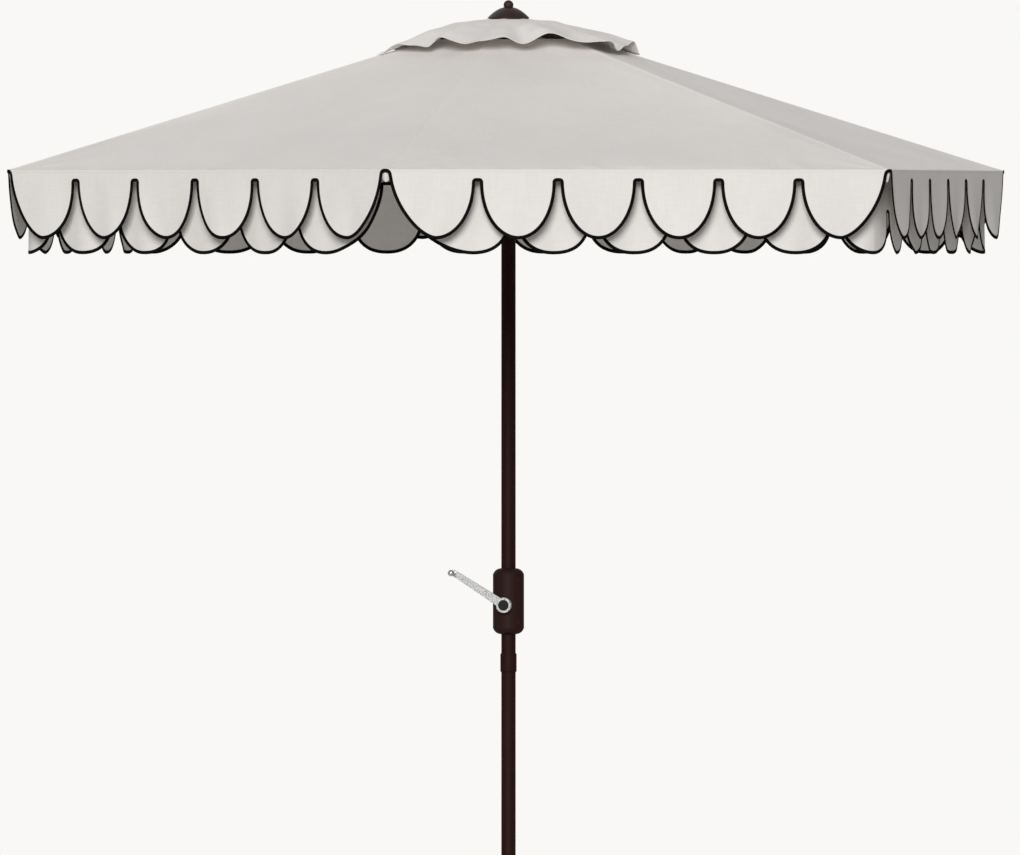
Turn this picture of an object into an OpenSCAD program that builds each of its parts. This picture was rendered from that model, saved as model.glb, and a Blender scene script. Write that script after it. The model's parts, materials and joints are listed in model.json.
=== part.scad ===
// Crank patio umbrella with a hexagonal canopy, a vent cap and a double scalloped valance.
// The origin is the middle of the pole's foot and +Z runs up the pole.
// Rib 1 points along -Y, and the crank faces the same way.

/* [Canopy] */
// Distance from the pole's axis to a canopy corner
canopy_r = 1370; // [1300:5:1450]
// Height of the hem above the foot
hem_z = 2000; // [1950:5:2060]
// How far the canopy's peak stands above the hem
canopy_rise = 410; // [390:5:430]
// How far each gore dips between two ribs
gore_sag = 12; // [4:1:16]
// Distance from the axis to a corner of the vent opening
vent_hole_r = 250; // [220:5:280]
// Distance from the axis to a corner of the vent cap
vent_r = 347; // [320:1:370]
// Thickness of the canopy's cloth and its hems
cloth_t = 2; // [1.5:0.1:2.2]

/* [Valance] */
// Depth of the outer layer's scallops below the hem
outer_drop = 176; // [160:1:190]
// Depth of the inner layer's scallops below the hem
inner_drop = 215; // [200:1:230]
// Depth of the plain band above the outer layer's slots
outer_band = 26; // [18:1:36]
// Depth of the plain band above the inner layer's slots
inner_band = 108; // [95:1:120]
// How far the inner layer hangs inside the outer one
layer_gap = 40; // [30:1:45]
// Thickness of one valance layer
valance_t = 1.5; // [1.2:0.1:2]

/* [Pole] */
// Outer diameter of the pole
pole_d = 38; // [37.8:0.1:38]
// Wall of the pole's tube
pole_wall = 1.5; // [1.4:0.1:1.6]
// Height at which the two halves of the pole meet
split_z = 700; // [695:1:710]
// Outer diameter of the sleeve over that joint
coupler_d = 43; // [42:0.5:46]

/* [Frame] */
// Distance from the axis to the rib and strut pivots
pivot_r = 32; // [31.5:0.5:33]
// Distance from the hub's pivot to the strut's bracket, along a rib
joint_s = 600; // [560:5:620]
// Width of a rib
rib_w = 10; // [9:0.5:10]
// Depth of a rib
rib_h = 16; // [14:0.5:16]
// Width of a strut
strut_w = 9; // [8:0.5:9]
// Depth of a strut
strut_h = 12; // [10:0.5:12]

/* [Crank] */
// Height of the crank's shaft above the foot
crank_z = 855; // [850:1:860]
// Diameter of the housing
housing_d = 82; // [80:1:84]
// Length of the crank's arm, from the shaft to the knob
arm_len = 160; // [140:1:170]
// Angle of the arm, anticlockwise from +X as seen from the front
arm_angle = 148; // [0:1:360]

/* [Hidden] */
$fn = 64;

// Colours
bronze = [0.15, 0.10, 0.10];
steel = [0.62, 0.62, 0.63];
silver = [0.78, 0.78, 0.78];
ivory = [0.86, 0.84, 0.82];
black = [0.05, 0.05, 0.05];

// Pole
pole_r = pole_d / 2;
pole_in_r = pole_r - pole_wall;
foot_t = 3;
depth_mark_z = 190;        // shallow groove that shows how far the pole sits in its base
pole_top_z = 2374;
slide_gap = 0.06;          // radial clearance of one tube inside another
spigot_len = 100;          // swaged end of the upper pole, inside the lower one
coupler_z = 678;
coupler_h = 50;

// Canopy lines, in a rib's own plane
ribs = 6;
half_gore = 180 / ribs;
peak_z = hem_z + canopy_rise;
slope = atan(canopy_rise / canopy_r);
rib_drop = 12;             // rib's centre line below the canopy's top face
hub_z = peak_z - pivot_r * tan(slope) - rib_drop / cos(slope);
rib_len = (canopy_r - pivot_r) / cos(slope);

// Strut linkage: the strut is as long as the distance from the hub's pivot to the bracket's
joint_drop = 18;           // bracket's pin below the rib's centre line
link_len = norm([joint_s, joint_drop]);
link_angle = slope + atan(joint_drop / joint_s);
runner_z = hub_z - 2 * link_len * sin(link_angle);
pin_r = 2.5;
pin_gap = 0.05;            // running clearance of a hole around its pin

// Hub and runner
flange_r = 44;
flange_h = 24;
slot_gap = 0.5;            // side clearance of a rib or strut in its slot
hub_top_z = hub_z + flange_h / 2;
hub_neck_r = pole_r + 3.5;
runner_bore_r = pole_r + 0.5;
runner_neck_r = 27;
runner_neck_h = 45;

// Finial
finial_r = 55;
finial_dome_h = 30;
ball_r = 13;

// Crank housing
housing_r = housing_d / 2;
housing_half_h = 87;
shoulder_h = 16;
shell_t = 4;
pad_r = 19;
pad_y = 43;
screw_x = 29;
screw_dz = 56;
shaft_r = 5;
drum_r = 10.6;
drum_half_w = 6.5;
cord_r = 1.5;
cord_x = 12.5;             // the cord runs up the pole this far from the axis
cord_y = 4.2;
pulley_z = 2328;
groove_gap = 0.6;           // radial gap between the cord and the bottom of the pulley's groove
ring_back_y = 44;
ring_front_y = 58;
ring_r = 20;
cap_r = 14;
arm_back_y = 49;
arm_t = 6;
knob_ball_y = 84;
knob_ball_r = 8.6;

// ---- helpers ----

// Azimuth of rib i, counted from 1, with rib 1 along -Y
function azimuth(i) = -90 + (i - 1) * 360 / ribs;

module at_rib(i) rotate([0, 0, azimuth(i)]) children();

// The rib's own frame: X along the rib from the hub's pivot, Z square to it and up
module rib_frame(i) at_rib(i) translate([pivot_r, 0, hub_z]) rotate([0, slope, 0]) children();

// The strut's own frame: X from the bracket's pin to the runner's pin
module strut_frame(i)
    at_rib(i)
        translate([pivot_r + link_len * cos(link_angle), 0, hub_z - link_len * sin(link_angle)])
            rotate([0, 180 - link_angle, 0]) children();

// A cylinder along Y between y0 and y1
module rod_y(r, y0, y1) translate([0, y1, 0]) rotate([90, 0, 0]) cylinder(r = r, h = y1 - y0);

module tube(r_out, r_in, z0, z1)
    difference() {
        translate([0, 0, z0]) cylinder(r = r_out, h = z1 - z0);
        translate([0, 0, z0 - 1]) cylinder(r = r_in, h = z1 - z0 + 2);
    }

// Points of a quadratic curve from a to c, pulled towards b
function bend(a, b, c, steps) =
    [for (k = [0 : steps]) let (t = k / steps) a * (1 - t) * (1 - t) + b * 2 * t * (1 - t) + c * t * t];

// A sheet with a grid of top points, rows of equal length, thickened straight down
module thick_sheet(rows, t) {
    n = len(rows);
    m = len(rows[0]);
    top = [for (row = rows) for (p = row) p];
    low = [for (p = top) p - [0, 0, t]];
    all = n * m;
    function at(i, j) = i * m + j;
    faces = concat(
        [for (i = [0 : n - 2]) for (j = [0 : m - 2]) [at(i, j), at(i, j + 1), at(i + 1, j)]],
        [for (i = [0 : n - 2]) for (j = [0 : m - 2]) [at(i, j + 1), at(i + 1, j + 1), at(i + 1, j)]],
        [for (i = [0 : n - 2]) for (j = [0 : m - 2]) [all + at(i, j), all + at(i + 1, j), all + at(i, j + 1)]],
        [for (i = [0 : n - 2]) for (j = [0 : m - 2])
            [all + at(i, j + 1), all + at(i + 1, j), all + at(i + 1, j + 1)]],
        [for (i = [0 : n - 2]) [at(i, 0), at(i + 1, 0), all + at(i + 1, 0), all + at(i, 0)]],
        [for (i = [0 : n - 2]) [at(i + 1, m - 1), at(i, m - 1), all + at(i, m - 1), all + at(i + 1, m - 1)]],
        [for (j = [0 : m - 2]) [at(0, j + 1), at(0, j), all + at(0, j), all + at(0, j + 1)]],
        [for (j = [0 : m - 2]) [at(n - 1, j), at(n - 1, j + 1), all + at(n - 1, j + 1), all + at(n - 1, j)]]
    );
    polyhedron(points = concat(top, low), faces = faces, convexity = 4);
}

// One sector of a six-sided tent, centred on a rib's local +X: corner radii r0 to r1, peak height z0,
// fall per millimetre of corner radius, and a dip (or a rise, if negative) between the ribs
module tent_sector(r0, r1, z0, fall, sag, steps) {
    side_steps = 3;
    seam_gap = 0.3;        // each sector stops this short of the gore's middle
    rows = [
        for (i = [0 : steps])
            let (u = i / steps, r = r0 + (r1 - r0) * u)
            [
                for (j = [-side_steps : side_steps])
                    let (
                        v = abs(j) / side_steps,
                        side = j < 0 ? -1 : 1,
                        rib = [r, 0],
                        mid = r * cos(half_gore) * [cos(half_gore), sin(half_gore)]
                            + seam_gap * [sin(half_gore), -cos(half_gore)],
                        p = rib * (1 - v) + mid * v,
                        dip = sag * sin(180 * u) * (1 - (1 - v) * (1 - v))
                    )
                    [p[0], side * p[1], z0 - fall * r - dip]
            ]
    ];
    thick_sheet(rows, cloth_t);
}

// Lower edge of a row of scallops, from right to left. Each scallop is
// [centre, left reach, left start depth, right reach, right start depth]
function scallop_edge(scallops, drop, steps) = [
    for (k = [len(scallops) - 1 : -1 : 0])
        let (s = scallops[k])
        for (q = [0 : 2 * steps])
            let (a = 90 * q / steps, right = a <= 90, reach = right ? s[3] : s[1],
                 start = right ? s[4] : s[2])
            if (reach > 0) [s[0] + reach * cos(a), -start - (drop - start) * abs(sin(a))]
];

vent_clear = 10;            // the vent cap's inner edge is this far outside the hub
vent_lift = 3;              // the vent cap's lines meet this far above the canopy's
vent_fall = 0.245;          // its fall per millimetre of corner radius, less than the canopy's
vent_rise = 10;             // how far its cloth stands up between the ribs

// The lay of the scallops along half a side of the hexagon, from the corner to the middle
side_half = canopy_r / 2;
pitch = side_half * 0.3175;              // width of a plain scallop
corner_w = side_half - 2 * pitch;        // width of the scallop beside a corner
slot_half = 11;                          // half the width of a slot at its top
corner_slot = 13;
strip_top = cloth_t + 0.5;               // the outer layer starts just under the canopy's hem
corner_start = strip_top + 1;
outer_c1 = corner_w * 0.54;
outer_c2 = corner_w + pitch / 2;
outer_c3 = corner_w + pitch * 1.5;
outer_scallops = [
    [outer_c1, outer_c1 - corner_slot, corner_start, corner_w - slot_half - outer_c1, outer_band],
    [outer_c2, pitch / 2 - slot_half, outer_band, pitch / 2 - slot_half, outer_band],
    [outer_c3, pitch / 2 - slot_half, outer_band, pitch / 2 - slot_half, outer_band]
];
inner_start = 32;                        // the inner layer clears the rib at the corner
inner_c1 = (outer_c1 + outer_c2) / 2;
inner_hw1 = (outer_c2 - outer_c1) / 2 - slot_half;
inner_c2 = (outer_c2 + outer_c3) / 2;
inner_common = [
    [inner_c2, pitch / 2 - slot_half, inner_band, pitch / 2 - slot_half, inner_band],
    [side_half - 0.3, side_half - outer_c3 - slot_half, inner_band, 0, inner_band]
];
inner_scallops = concat(
    [
        [inner_start, 0, inner_band, outer_c1 - slot_half - inner_start, inner_band],
        [inner_c1, inner_hw1, inner_band, inner_hw1, inner_band]
    ], inner_common);
// The inner layer's two ends meet at rib 1, where a tall slot divides them
inner_scallops_end = concat([[inner_c1, inner_c1 - inner_start - 8, 40, inner_hw1, inner_band]], inner_common);

module strip(scallops, x0, x1, top, drop)
    rotate([90, 0, 0])
        linear_extrude(height = valance_t)
            polygon(concat([[x0, top], [x1, top]], scallop_edge(scallops, drop, 8)));

// ---- pole ----

module lower_pole()
    color(bronze)
        difference() {
            tube(pole_r, pole_in_r, foot_t, split_z);
            tube(pole_r + 1, pole_r - 0.2, depth_mark_z, depth_mark_z + 1);
        }

module foot_plug()
    color(black) {
        cylinder(r = pole_r, h = foot_t);
        tube(pole_in_r, pole_in_r - 3, foot_t, foot_t + 25);
    }

module coupler() {
    bore = pole_r + slide_gap;
    r = coupler_d / 2;
    color(bronze)
        translate([0, 0, coupler_z])
            rotate_extrude()
                polygon([[bore, 0], [r - 1.5, 0], [r, 3], [r, coupler_h - 3], [r - 1.5, coupler_h],
                         [bore, coupler_h]]);
}

module upper_pole() {
    spigot_r = pole_in_r - slide_gap;
    color(bronze)
        difference() {
            union() {
                tube(pole_r, pole_in_r, split_z + 0.4, pole_top_z);
                tube(spigot_r, spigot_r - 2, split_z - spigot_len, split_z + 40);
                tube(pole_in_r + 0.1, spigot_r - 2, split_z + 0.4, split_z + 40);
            }
            translate([0, 0, crank_z]) rod_y(shaft_r + 1.5, -pole_d, pole_d);
            translate([0, 0, pulley_z]) rod_y(3, -pole_d, pole_d);
        }
}

// ---- crank ----

// Half of the housing's outline, in radius and height, from bottom to top
function housing_outline() =
    let (
        low = bend([pole_r + 1, -housing_half_h], [housing_r - 6, -housing_half_h + 1],
                   [housing_r, -housing_half_h + shoulder_h], 6),
        high = [for (k = [len(low) - 1 : -1 : 0]) [low[k][0], -low[k][1]]]
    )
    concat([[pole_r + slide_gap, -housing_half_h]], low, high, [[pole_r + slide_gap, housing_half_h]]);

housing_mid_z = crank_z + 10;

module housing_half(front) {
    keep_y = front ? -100 : 0;
    difference() {
        intersection() {
            union() {
                difference() {
                    translate([0, 0, housing_mid_z]) rotate_extrude() polygon(housing_outline());
                    translate([0, 0, housing_mid_z - housing_half_h + shoulder_h + shell_t])
                        cylinder(r = housing_r - shell_t, h = 2 * (housing_half_h - shoulder_h - shell_t));
                }
                for (x = [-screw_x, screw_x]) for (dz = [-screw_dz, screw_dz])
                    translate([x, 0, crank_z + dz + 10]) rod_y(6, -27, 27);
                translate([0, 0, crank_z]) {
                    rod_y(11, 20.5, 38);
                    rod_y(pad_r, -pad_y, -30);
                    rod_y(11, -30, -20.5);
                }
            }
            translate([-100, keep_y, 0]) cube([200, 100, 2000]);
        }
        translate([0, 0, crank_z]) rod_y(shaft_r + pin_gap, -pad_y - 1, 32);
        for (x = [-screw_x, screw_x]) for (dz = [-screw_dz, screw_dz])
            translate([x, 0, crank_z + dz + 10]) {
                rod_y(2, -12, 40);
                rod_y(4.4, 22, 40);
            }
    }
}

module housing_front() color(bronze) housing_half(true);

module housing_back() color(bronze) housing_half(false);

module housing_screws()
    color(steel)
        for (x = [-screw_x, screw_x]) for (dz = [-screw_dz, screw_dz])
            translate([x, 0, crank_z + dz + 10]) {
                rod_y(2, -12, 22.5);
                difference() {
                    rod_y(4, 22, 25);
                    translate([0, 24, 0]) cube([6, 2.2, 1], center = true);
                    translate([0, 24, 0]) cube([1, 2.2, 6], center = true);
                }
            }

module crank_spool()
    color(steel)
        translate([0, 0, crank_z]) {
            rod_y(shaft_r, -52, 31);
            rod_y(drum_r, -drum_half_w, drum_half_w);
            rod_y(12.9, -drum_half_w, 2);
            rod_y(15.5, -drum_half_w - 1, -drum_half_w);
            rod_y(15.5, drum_half_w, drum_half_w + 1);
        }

module crank_handle()
    color(silver)
        translate([0, 0, crank_z]) {
            difference() {
                rod_y(ring_r, -ring_front_y, -ring_back_y);
                rod_y(shaft_r, -52, 0);
                rod_y(cap_r, -ring_front_y - 1, -ring_front_y + 3);
            }
            rotate([0, -arm_angle, 0]) {
                difference() {
                    union() {
                        rotate([90, 0, 0])
                            translate([0, 0, arm_back_y])
                                linear_extrude(height = arm_t)
                                    polygon([[14, -11.5], [arm_len, -8], [arm_len, 8], [14, 11.5]]);
                        translate([arm_len, 0, 0]) rod_y(8, -arm_back_y - arm_t, -arm_back_y);
                    }
                    rod_y(ring_r - 1, -arm_back_y - arm_t - 1, -arm_back_y + 1);
                }
                translate([arm_len, 0, 0]) rod_y(pin_r, -knob_ball_y, -arm_back_y - arm_t + 1);
            }
        }

module crank_cap()
    color(black)
        translate([0, 0, crank_z]) {
            rod_y(cap_r, -ring_front_y - 1, -ring_front_y + 3);
            rod_y(cap_r - 2.5, -ring_front_y - 2, -ring_front_y);
        }

module crank_knob()
    color(silver)
        translate([0, 0, crank_z])
            rotate([0, -arm_angle, 0])
                translate([arm_len, 0, 0])
                    difference() {
                        union() {
                            rod_y(4.5, -knob_ball_y, -arm_back_y - arm_t - 0.5);
                            translate([0, -knob_ball_y, 0]) sphere(r = knob_ball_r);
                        }
                        rod_y(pin_r + pin_gap, -knob_ball_y - 0.5, 0);
                    }

module pulley()
    color(black)
        translate([0, cord_y, pulley_z])
            rotate([90, 0, 0])
                rotate_extrude()
                    polygon(concat(
                        [[3 + pin_gap, -3.4], [13, -3.4]],
                        bend([13, -2.4], [2 * (cord_x - cord_r - groove_gap) - 13, 0], [13, 2.4], 8),
                        [[13, 3.4], [3 + pin_gap, 3.4]]
                    ));

module lift_cord()
    color([0.9, 0.9, 0.88])
        translate([0, cord_y, 0]) {
            translate([cord_x, 0, crank_z]) cylinder(r = cord_r, h = pulley_z - crank_z, $fn = 24);
            translate([0, 0, pulley_z])
                rotate([90, 0, 0])
                    rotate_extrude(angle = 180) translate([cord_x, 0]) circle(r = cord_r, $fn = 24);
            translate([-cord_x, 0, pulley_z - 40]) cylinder(r = cord_r, h = 40, $fn = 24);
            translate([-cord_x, 0, pulley_z - 43]) sphere(r = 3.2);
        }

// ---- hub, finial and runner ----

module slots(w, r_in, z_mid, h)
    for (i = [1 : ribs])
        at_rib(i) translate([r_in, -w / 2, z_mid - h]) cube([100, w, 2 * h]);

module pivot_pins(z, half_len)
    for (i = [1 : ribs])
        at_rib(i) translate([pivot_r, 0, z]) rod_y(pin_r, -half_len, half_len);

module top_hub() {
    neck_z = 2350;
    color(black)
        difference() {
            union() {
                translate([0, 0, hub_z - flange_h / 2]) cylinder(r = flange_r, h = flange_h);
                translate([0, 0, neck_z]) cylinder(r = hub_neck_r, h = hub_z - neck_z);
            }
            translate([0, 0, neck_z - 1]) cylinder(r = pole_r, h = pole_top_z - neck_z + 1);
            translate([0, 0, pole_top_z - 1]) cylinder(r = 4, h = 60);
            slots(rib_w + 2 * slot_gap, pivot_r - rib_h / 2 - 0.5, hub_z, flange_h);
            pivot_pins(hub_z, 11);
        }
}

module mast_pins()
    color(steel) {
        pivot_pins(hub_z, 11);
        translate([0, 0, pulley_z]) rod_y(3, -pole_r + 0.1, pole_r - 0.1);
    }

module finial() {
    base_z = hub_top_z + 1.6;
    dome = bend([finial_r, 2], [finial_r * 0.55, finial_dome_h * 0.93], [9, finial_dome_h], 10);
    color(bronze) {
        translate([0, 0, base_z]) rotate_extrude() polygon(concat([[0, 0], [finial_r, 0]], dome, [[0, finial_dome_h]]));
        translate([0, 0, base_z + finial_dome_h + ball_r * 0.42]) sphere(r = ball_r);
        translate([0, 0, pole_top_z + 4]) cylinder(r = 4, h = base_z - pole_top_z);
    }
}

module runner()
    color(black)
        difference() {
            union() {
                translate([0, 0, runner_z - flange_h / 2]) cylinder(r = flange_r, h = flange_h);
                translate([0, 0, runner_z - flange_h / 2 - runner_neck_h])
                    cylinder(r = runner_neck_r, h = runner_neck_h + 1);
            }
            translate([0, 0, runner_z - flange_h / 2 - runner_neck_h - 1])
                cylinder(r = runner_bore_r, h = 200);
            slots(strut_w + 2 * slot_gap, pivot_r - strut_h / 2 - 0.6, runner_z, flange_h / 2 + 0.5);
            pivot_pins(runner_z, 10);
        }

module runner_pins() color(steel) pivot_pins(runner_z, 10);

// ---- ribs and struts ----

// A box section along X with a wall of 1.2 mm, closed at its inner end
module box_section(w, h, x0, x1, wall = 1.2)
    difference() {
        translate([x0, -w / 2, -h / 2]) cube([x1 - x0, w, h]);
        translate([x0 + 12, -w / 2 + wall, -h / 2 + wall]) cube([x1 - x0, w - 2 * wall, h - 2 * wall]);
    }

module rib(i) {
    tube_end = rib_len - 12;
    rib_frame(i) {
        color(bronze)
            difference() {
                union() {
                    box_section(rib_w, rib_h, 0, tube_end);
                    rod_y(rib_h / 2, -rib_w / 2, rib_w / 2);
                }
                rod_y(pin_r + pin_gap, -rib_w, rib_w);
            }
        color(black) {
            translate([tube_end, -rib_w / 2, -rib_h / 2]) cube([5, rib_w, rib_h]);
            translate([tube_end - 20, -rib_w / 2 + 1.4, -rib_h / 2 + 1.4])
                cube([21, rib_w - 2.8, rib_h - 2.8]);
        }
    }
}

module rib_joint(i) {
    cheek_t = 2.5;
    half_l = 20;
    outer = rib_w / 2 + cheek_t;
    rib_frame(i)
        translate([joint_s, 0, 0]) {
            color(black)
                difference() {
                    union() {
                        for (side = [-1, 1])
                            translate([-half_l, side > 0 ? rib_w / 2 : -outer, -joint_drop])
                                cube([2 * half_l, cheek_t, joint_drop + 6]);
                        for (side = [-1, 1])
                            translate([0, 0, -joint_drop])
                                rod_y(9, side > 0 ? rib_w / 2 : -outer, side > 0 ? outer : -rib_w / 2);
                        translate([-half_l, -outer, -rib_h / 2 - 2]) cube([2 * half_l, 2 * outer, 2]);
                    }
                    translate([0, 0, -joint_drop]) rod_y(pin_r, -outer - 1, outer + 1);
                }
            color(steel)
                translate([0, 0, -joint_drop]) {
                    rod_y(pin_r, -outer - 1, outer + 1);
                    rod_y(4, outer, outer + 1.2);
                    rod_y(4, -outer - 1.2, -outer);
                }
        }
}

module strut(i)
    strut_frame(i)
        color(bronze)
            difference() {
                union() {
                    difference() {
                        translate([0, -strut_w / 2, -strut_h / 2]) cube([link_len, strut_w, strut_h]);
                        translate([12, -strut_w / 2 + 1.2, -strut_h / 2 + 1.2])
                            cube([link_len - 24, strut_w - 2.4, strut_h - 2.4]);
                    }
                    rod_y(strut_h / 2, -strut_w / 2, strut_w / 2);
                    translate([link_len, 0, 0]) rod_y(strut_h / 2, -strut_w / 2, strut_w / 2);
                }
                rod_y(pin_r + pin_gap, -strut_w, strut_w);
                translate([link_len, 0, 0]) rod_y(pin_r + pin_gap, -strut_w, strut_w);
            }

// ---- cloth ----

module canopy(i)
    color(ivory)
        at_rib(i)
            tent_sector(vent_hole_r, canopy_r, peak_z, canopy_rise / canopy_r, gore_sag, 6);

module vent(i)
    color(ivory)
        at_rib(i)
            tent_sector(flange_r + vent_clear, vent_r, peak_z + vent_lift, vent_fall, -vent_rise, 4);

// Half a side's valance, both layers, from the corner of rib i to the middle of the gore
module valance(i, side)
    color(ivory)
        at_rib(i)
            mirror([0, side < 0 ? 1 : 0, 0])
                translate([canopy_r, 0, hem_z])
                    rotate([0, 0, 90 + half_gore]) {
                        translate([0, valance_t, 0])
                            strip(outer_scallops, corner_slot, side_half - 0.3, -strip_top, outer_drop);
                        translate([0, layer_gap + valance_t, 0])
                            strip(i == 1 ? inner_scallops_end : inner_scallops,
                                  inner_start, side_half - 0.3, 8, inner_drop);
                    }

lower_pole();
foot_plug();
coupler();
upper_pole();
housing_front();
housing_back();
housing_screws();
crank_spool();
crank_handle();
crank_cap();
crank_knob();
pulley();
lift_cord();
top_hub();
mast_pins();
finial();
runner();
runner_pins();
rib(1);  // rib_1
rib(2);  // rib_2
rib(3);  // rib_3
rib(4);  // rib_4
rib(5);  // rib_5
rib(6);  // rib_6
rib_joint(1);  // rib_joint_1
rib_joint(2);  // rib_joint_2
rib_joint(3);  // rib_joint_3
rib_joint(4);  // rib_joint_4
rib_joint(5);  // rib_joint_5
rib_joint(6);  // rib_joint_6
strut(1);  // strut_1
strut(2);  // strut_2
strut(3);  // strut_3
strut(4);  // strut_4
strut(5);  // strut_5
strut(6);  // strut_6
canopy(1);  // canopy_1
canopy(2);  // canopy_2
canopy(3);  // canopy_3
canopy(4);  // canopy_4
canopy(5);  // canopy_5
canopy(6);  // canopy_6
vent(1);  // vent_1
vent(2);  // vent_2
vent(3);  // vent_3
vent(4);  // vent_4
vent(5);  // vent_5
vent(6);  // vent_6
valance(1, -1);  // valance_left_1
valance(2, -1);  // valance_left_2
valance(3, -1);  // valance_left_3
valance(4, -1);  // valance_left_4
valance(5, -1);  // valance_left_5
valance(6, -1);  // valance_left_6
valance(1, 1);  // valance_right_1
valance(2, 1);  // valance_right_2
valance(3, 1);  // valance_right_3
valance(4, 1);  // valance_right_4
valance(5, 1);  // valance_right_5
valance(6, 1);  // valance_right_6
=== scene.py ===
"""Looks of a crank patio umbrella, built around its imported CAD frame.

Lengths are in metres. Rib 1 points along -Y, ribs are counted anticlockwise from above, and gore g
lies between rib g and the next one. Each gore's cloth is made in two halves, one on each rib, so that
the halves can fold with their ribs.
"""
import json
import math

import bpy
import numpy as np
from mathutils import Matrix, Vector


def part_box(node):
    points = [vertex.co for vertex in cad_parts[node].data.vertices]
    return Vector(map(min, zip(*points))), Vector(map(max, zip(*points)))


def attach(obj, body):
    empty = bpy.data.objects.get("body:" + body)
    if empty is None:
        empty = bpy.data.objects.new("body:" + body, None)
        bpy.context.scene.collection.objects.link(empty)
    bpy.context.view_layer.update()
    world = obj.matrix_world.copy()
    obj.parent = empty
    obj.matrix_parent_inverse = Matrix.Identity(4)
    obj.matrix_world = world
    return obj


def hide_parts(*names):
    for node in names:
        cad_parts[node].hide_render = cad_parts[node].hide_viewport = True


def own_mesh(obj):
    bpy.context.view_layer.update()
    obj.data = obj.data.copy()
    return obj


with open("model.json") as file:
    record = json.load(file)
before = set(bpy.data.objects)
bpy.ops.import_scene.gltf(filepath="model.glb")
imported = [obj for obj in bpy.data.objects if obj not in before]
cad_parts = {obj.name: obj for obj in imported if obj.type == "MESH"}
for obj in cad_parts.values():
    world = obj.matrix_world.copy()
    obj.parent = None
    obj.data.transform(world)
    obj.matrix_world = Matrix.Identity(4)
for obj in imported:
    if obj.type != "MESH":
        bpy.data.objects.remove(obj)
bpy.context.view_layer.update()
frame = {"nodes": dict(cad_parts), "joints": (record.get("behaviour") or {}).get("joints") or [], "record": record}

# ---- sizes, read from the frame ----

RIBS = 6
COS30 = math.cos(math.pi / RIBS)
CAD_CLOTH = 0.002            # thickness of the CAD cloth, which hangs below its top face
low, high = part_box("canopy_1")
CANOPY_R = -low.y            # corner radius of the canopy
HEM_Z = low.z + CAD_CLOTH
CAD_HOLE_R = -high.y / COS30**2
HEM_TURN = 0.040             # how far the vent opening's hem turns inwards
HOLE_R = CAD_HOLE_R - HEM_TURN
FALL = (high.z - HEM_Z) / (CANOPY_R - CAD_HOLE_R)
PEAK_Z = HEM_Z + FALL * CANOPY_R
low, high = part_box("vent_1")
VENT_R = -low.y
VENT_IN_R = -high.y / COS30**2
VENT_FALL = (high.z - low.z - CAD_CLOTH) / (VENT_R - VENT_IN_R)
VENT_PEAK_Z = high.z + VENT_FALL * VENT_IN_R
GORE_SAG = 0.012             # how far the cloth sags halfway between two ribs
SIDE_HALF = CANOPY_R / 2     # half a side of the hexagon
INNER_DROP = HEM_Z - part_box("valance_right_2")[0].z
LAYER_STEP = 0.039           # how much lower the inner layer hangs
OUTER_DROP = INNER_DROP - LAYER_STEP
LAYER_GAP = 0.040            # from the outer valance layer to the inner one
HUB_TOP_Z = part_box("top_hub")[1].z
fold = next(j for j in frame["joints"] if j["name"] == "canopy_fold")
FOLD = math.radians(fold["range_deg"][1])
SLOPE = math.atan(FALL)

CLOTH_T = 0.0012             # thickness of the cloth, and of the black binding folded round its edge
BIND_T = 0.0028
BIND_HALF = 0.0046           # half the binding's width


def azimuth(i):
    """Plan angle of rib i."""
    return math.radians(-90 + (i - 1) * 360 / RIBS)


def smooth(x):
    """A smooth step from 0 to 1."""
    x = np.clip(x, 0, 1)
    return x * x * (3 - 2 * x)


# ---- camera ----

CAMERA_AZIMUTH = math.radians(13.5)
CAMERA_DISTANCE = 68.5
CAMERA_Z = 1.84
FOCAL_PX = 25975             # focal length in pixels of an image this wide
IMAGE_W = 1020
PITCH = math.radians(0.4324)
AIM_ASIDE = 0.004            # the pole stands this far left of the picture's middle


def make_camera():
    data = bpy.data.cameras.new("camera")
    data.sensor_width = 36
    data.lens = FOCAL_PX / IMAGE_W * data.sensor_width
    data.clip_start, data.clip_end = 1, 200
    cam = bpy.data.objects.new("camera", data)
    bpy.context.scene.collection.objects.link(cam)
    back = Vector((math.sin(CAMERA_AZIMUTH), -math.cos(CAMERA_AZIMUTH), 0))
    right = Vector((math.cos(CAMERA_AZIMUTH), math.sin(CAMERA_AZIMUTH), 0))
    cam.location = back * CAMERA_DISTANCE + Vector((0, 0, CAMERA_Z))
    aim = right * AIM_ASIDE + Vector((0, 0, CAMERA_Z - CAMERA_DISTANCE * math.tan(PITCH)))
    cam.rotation_mode = "QUATERNION"
    cam.rotation_quaternion = (aim - cam.location).to_track_quat("-Z", "Y")
    bpy.context.scene.camera = cam


# ---- mesh helpers ----


def new_object(name, mesh, material, body):
    obj = bpy.data.objects.new(name, mesh)
    bpy.context.scene.collection.objects.link(obj)
    mesh.materials.append(material)
    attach(obj, body)
    return obj


def set_maps(mesh, maps):
    """UV maps in metres, given a value for each vertex."""
    corner = np.zeros(len(mesh.loops), np.int32)
    mesh.loops.foreach_get("vertex_index", corner)
    for name, uv in maps.items():
        layer = mesh.uv_layers.new(name=name)
        layer.data.foreach_set("uv", uv.reshape(-1, 2)[corner].astype(np.float32).ravel())


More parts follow.
